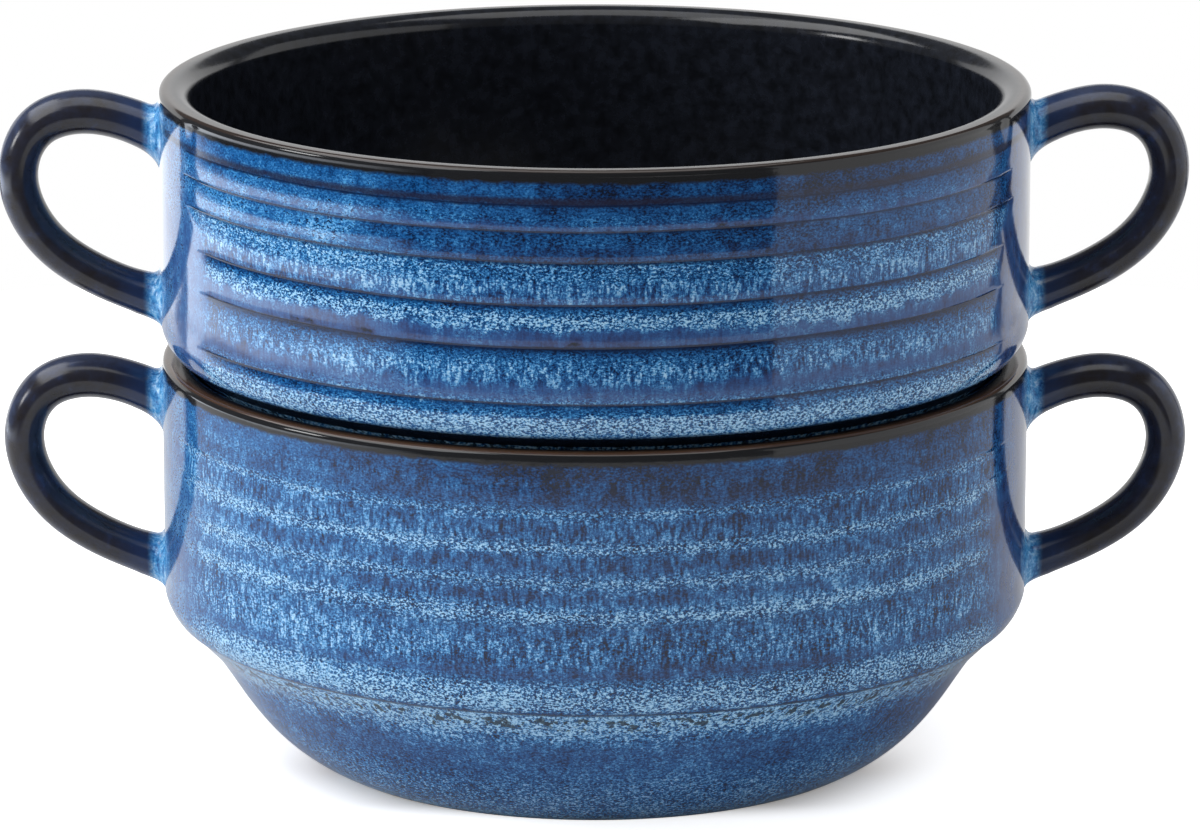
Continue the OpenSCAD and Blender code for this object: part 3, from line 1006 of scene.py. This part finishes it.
class LoopHandles(bpy.types.Operator):
    """Pulls the four looped handles and glazes them"""

    bl_idname = "soup_bowls.handles"
    bl_label = "Loop Handles"

    def execute(self, context):
        bowl = context.scene.bowl_sizes
        sizes = context.scene.handle_sizes
        points, sections = loop_rail(sizes, bowl)
        tree = strap_tree()
        glaze = handle_glaze("dark_handle_glaze", context.scene.glaze_colours)
        for number, body in enumerate(BODIES):
            for side, turn in (("right", 0.0), ("left", math.pi)):
                name = body + "_" + side
                guides = point_mesh(name + "_rail", points, sections)
                piece = apply_tree(name + "_looped_handle", guides, tree, {
                    "Sides": sizes.sides,
                    "Wall Radius": bowl.rim_radius,
                    "Flare": sizes.flare,
                    "Top": bowl.height - ROOT_UNDER_LIP * MM,
                    "Bottom": (STEP + ROOT_OVER_STEP) * MM,
                    "Lift": FOOT_TO_FOOT * number,
                    "Turn": turn + UPPER_TURN * number,
                }, glaze)
                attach(piece, body)
                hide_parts(name + "_handle")
        return {"FINISHED"}


# The stage: sizes in metres, strengths of glow, and colours

FLOOR_RADIUS = 0.38
FLOOR_SIDES = 96
WORLD_STRENGTH = 0.25
WORLD_SEEN = 0.75
WORLD_MIRRORED_LESS = 0.14
WHITE = (1, 1, 1, 1)
COOL = (0.86, 0.92, 1.0, 1.0)
PAPER_GLOW = 0.85
# The paper's glow dies away round the foot, at its sides and back: a painted contact shadow over the bowl's
# own shade
PAINTED_SHADOW_GLOW = (0.27, 0.25, 0.225, 1)
SHADE_REACH = (0.064, 0.046)
SHADE_FRONT = (-0.049, -0.038)
SHADE_BACK = (0.0, -0.022, 0.4, 1.0)


def floor_material():
    """White paper that the camera sees as white but for the shadow, which is partly painted round the foot.
    """
    material, board = new_material("white_floor")
    seen = board.node("ShaderNodeLightPath", None, None, "Is Camera Ray")
    x, y, z = board.split(board.place())
    # Painted contact shadow: the glow is darkened round the foot
    shade = board.ease(board.math("SQRT", x * x + y * y), *SHADE_REACH)
    shade = shade * board.ease(y, *SHADE_FRONT) * board.ease(y, *SHADE_BACK)
    paper = board.node("ShaderNodeBsdfDiffuse", None, {"Color": (0.80, 0.80, 0.80, 1)})
    glow = board.node("ShaderNodeEmission", None, {
        "Color": board.blend(shade, WHITE, PAINTED_SHADOW_GLOW), "Strength": seen * PAPER_GLOW})
    board.finish(board.node("ShaderNodeAddShader", None, {0: paper, 1: glow}))
    return material


def across_x(x, low, high, bottom, top):
    """Corners of an upright panel that faces along X, from low to high in Y."""
    return [(x, low, bottom), (x, high, bottom), (x, high, top), (x, low, top)]


def across_y(y, left, right, bottom_left, bottom_right, top):
    """Corners of an upright panel that faces along Y, with a bottom edge that may slope."""
    return [(left, y, bottom_left), (right, y, bottom_right), (right, y, top), (left, y, top)]


# Glowing sheets that the glaze mirrors: corners, strength, the places along Y where a sheet comes up, the
# heights where it dies away, and its tint
PANELS = {
    "left_low_panel": (across_x(-0.85, -0.95, 0.80, -0.40, 0.02), 3.2, (-0.95, -0.10), (-0.085, 0.0), COOL),
    "left_high_panel": ([(-0.85, -0.9, 0.75), (-0.85, 0.6, 0.75), (-0.5, 0.6, 1.2), (-0.5, -0.9, 1.2)], 3.0),
    "right_panel": (across_x(0.85, -0.826, 0.59, -0.40, 0.80), 0.84),
    "back_left_panel": (across_y(1.1, -1.0, 0.1, -0.236, -0.162, 0.0), 1.7),
    "back_right_panel": (across_y(1.1, 0.1, 1.2, -0.175, -0.282, 0.0), 1.0),
    "back_sheet": (across_y(1.1, -1.2, 1.2, 0.0, 0.0, 0.5), 0.9),
    "left_lamp": (across_x(-0.9, -0.24, -0.04, 0.27, 0.47), 9.0),
}


def stage_sheet(name, corners, material):
    """A flat sheet of the stage."""
    mesh = bpy.data.meshes.new(name)
    mesh.from_pydata(corners, [], [tuple(range(len(corners)))])
    mesh.materials.append(material)
    sheet = add_object(name, mesh)
    return sheet


def soft_panel(name, corners, strength, fade=None, top=None, tint=WHITE):
    """A glowing sheet that the camera doesn't see."""
    material, board = new_material(name + "_glow")
    x, y, z = board.split(board.place())
    if fade:
        strength = board.ease(y, *fade, 0.0, strength)
    if top:
        strength = strength * board.ease(z, *top, 1.0, 0.0)
    board.finish(board.node("ShaderNodeEmission", None, {"Color": tint, "Strength": strength}))
    panel = stage_sheet(name, corners, material)
    panel.visible_camera = False
    panel.visible_shadow = False


def soft_light(name, place, sides, watts):
    """A soft light that faces down and that the camera doesn't see."""
    lamp = bpy.data.lights.new(name, "AREA")
    lamp.shape = "RECTANGLE"
    lamp.size, lamp.size_y = sides
    lamp.energy = watts
    lamp_object = add_object(name, lamp)
    lamp_object.location = place
    lamp_object.visible_camera = False
    return lamp_object


class StageSetup(bpy.types.Operator):
    """Sets up the floor, the soft lights, the white background and the camera"""

    bl_idname = "soup_bowls.stage"
    bl_label = "Stage"

    def execute(self, context):
        scene = context.scene
        angles = [math.tau * i / FLOOR_SIDES for i in range(FLOOR_SIDES)]
        ring = [(FLOOR_RADIUS * math.cos(angle), FLOOR_RADIUS * math.sin(angle), 0.0) for angle in angles]
        stage_sheet("floor", ring, floor_material())

        world = bpy.data.worlds.new("white_room")
        scene.world = world
        world.use_nodes = True
        world.node_tree.nodes.clear()
        board = ShaderBoard(world.node_tree)
        seen = board.node("ShaderNodeLightPath", None, None, "Is Camera Ray")
        mirrored = board.node("ShaderNodeLightPath", None, None, "Is Glossy Ray")
        strength = WORLD_STRENGTH + seen * WORLD_SEEN - mirrored * WORLD_MIRRORED_LESS
        room = board.node("ShaderNodeBackground", None, {"Color": WHITE, "Strength": strength})
        board.finish(room, "ShaderNodeOutputWorld")

        for name, settings in PANELS.items():
            soft_panel(name, *settings)
        # The side light brightens the glaze and leaves no reflection
        side_fill = soft_light("side_fill", (-0.80, -0.25, 0.30), (0.5, 0.5), 2.6)
        side_fill.rotation_euler = (-Vector(side_fill.location)).to_track_quat("-Z", "Y").to_euler()
        side_fill.visible_glossy = False
        soft_light("overhead_softbox", (0, -0.1, 1.15), (1.0, 0.9), 4.5)

        camera = bpy.data.cameras.new("camera")
        camera.lens = 215.6
        camera.sensor_width = 36
        camera_object = add_object("camera", camera)
        camera_object.location = (0.00088, -1.21303, 0.35612)
        camera_object.rotation_euler = (math.radians(76.226), 0, 0)
        scene.camera = camera_object
        scene.view_settings.view_transform = "Standard"
        return {"FINISHED"}


class SoupBowlPanel(bpy.types.Panel):
    """Lists the sizes, the colours and the pieces of the stack"""

    bl_idname = "VIEW3D_PT_soup_bowls"
    bl_label = "Soup Bowls"
    bl_space_type = "VIEW_3D"
    bl_region_type = "UI"
    bl_category = "Soup Bowls"

    def draw(self, context):
        layout = self.layout
        for group in GROUPS:
            column = layout.column()
            properties = getattr(context.scene, group)
            for key in properties.__annotations__:
                column.prop(properties, key)
        for operator in OPERATORS:
            layout.operator(operator.bl_idname)


OPERATORS = (StageSetup, BowlBodies, LoopHandles)
GROUPS = {"bowl_sizes": BowlSizes, "handle_sizes": HandleSizes, "glaze_colours": GlazeColours}


def register():
    for kind in (*GROUPS.values(), *OPERATORS, SoupBowlPanel):
        bpy.utils.register_class(kind)
    for key, group in GROUPS.items():
        setattr(bpy.types.Scene, key, PointerProperty(type=group))


def unregister():
    for key in GROUPS:
        delattr(bpy.types.Scene, key)
    for kind in reversed((*GROUPS.values(), *OPERATORS, SoupBowlPanel)):
        bpy.utils.unregister_class(kind)


def main():
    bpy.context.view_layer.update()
    register()
    bpy.ops.soup_bowls.stage()
    bpy.ops.soup_bowls.bodies()
    bpy.ops.soup_bowls.handles()


if __name__ == "__main__":
    main()
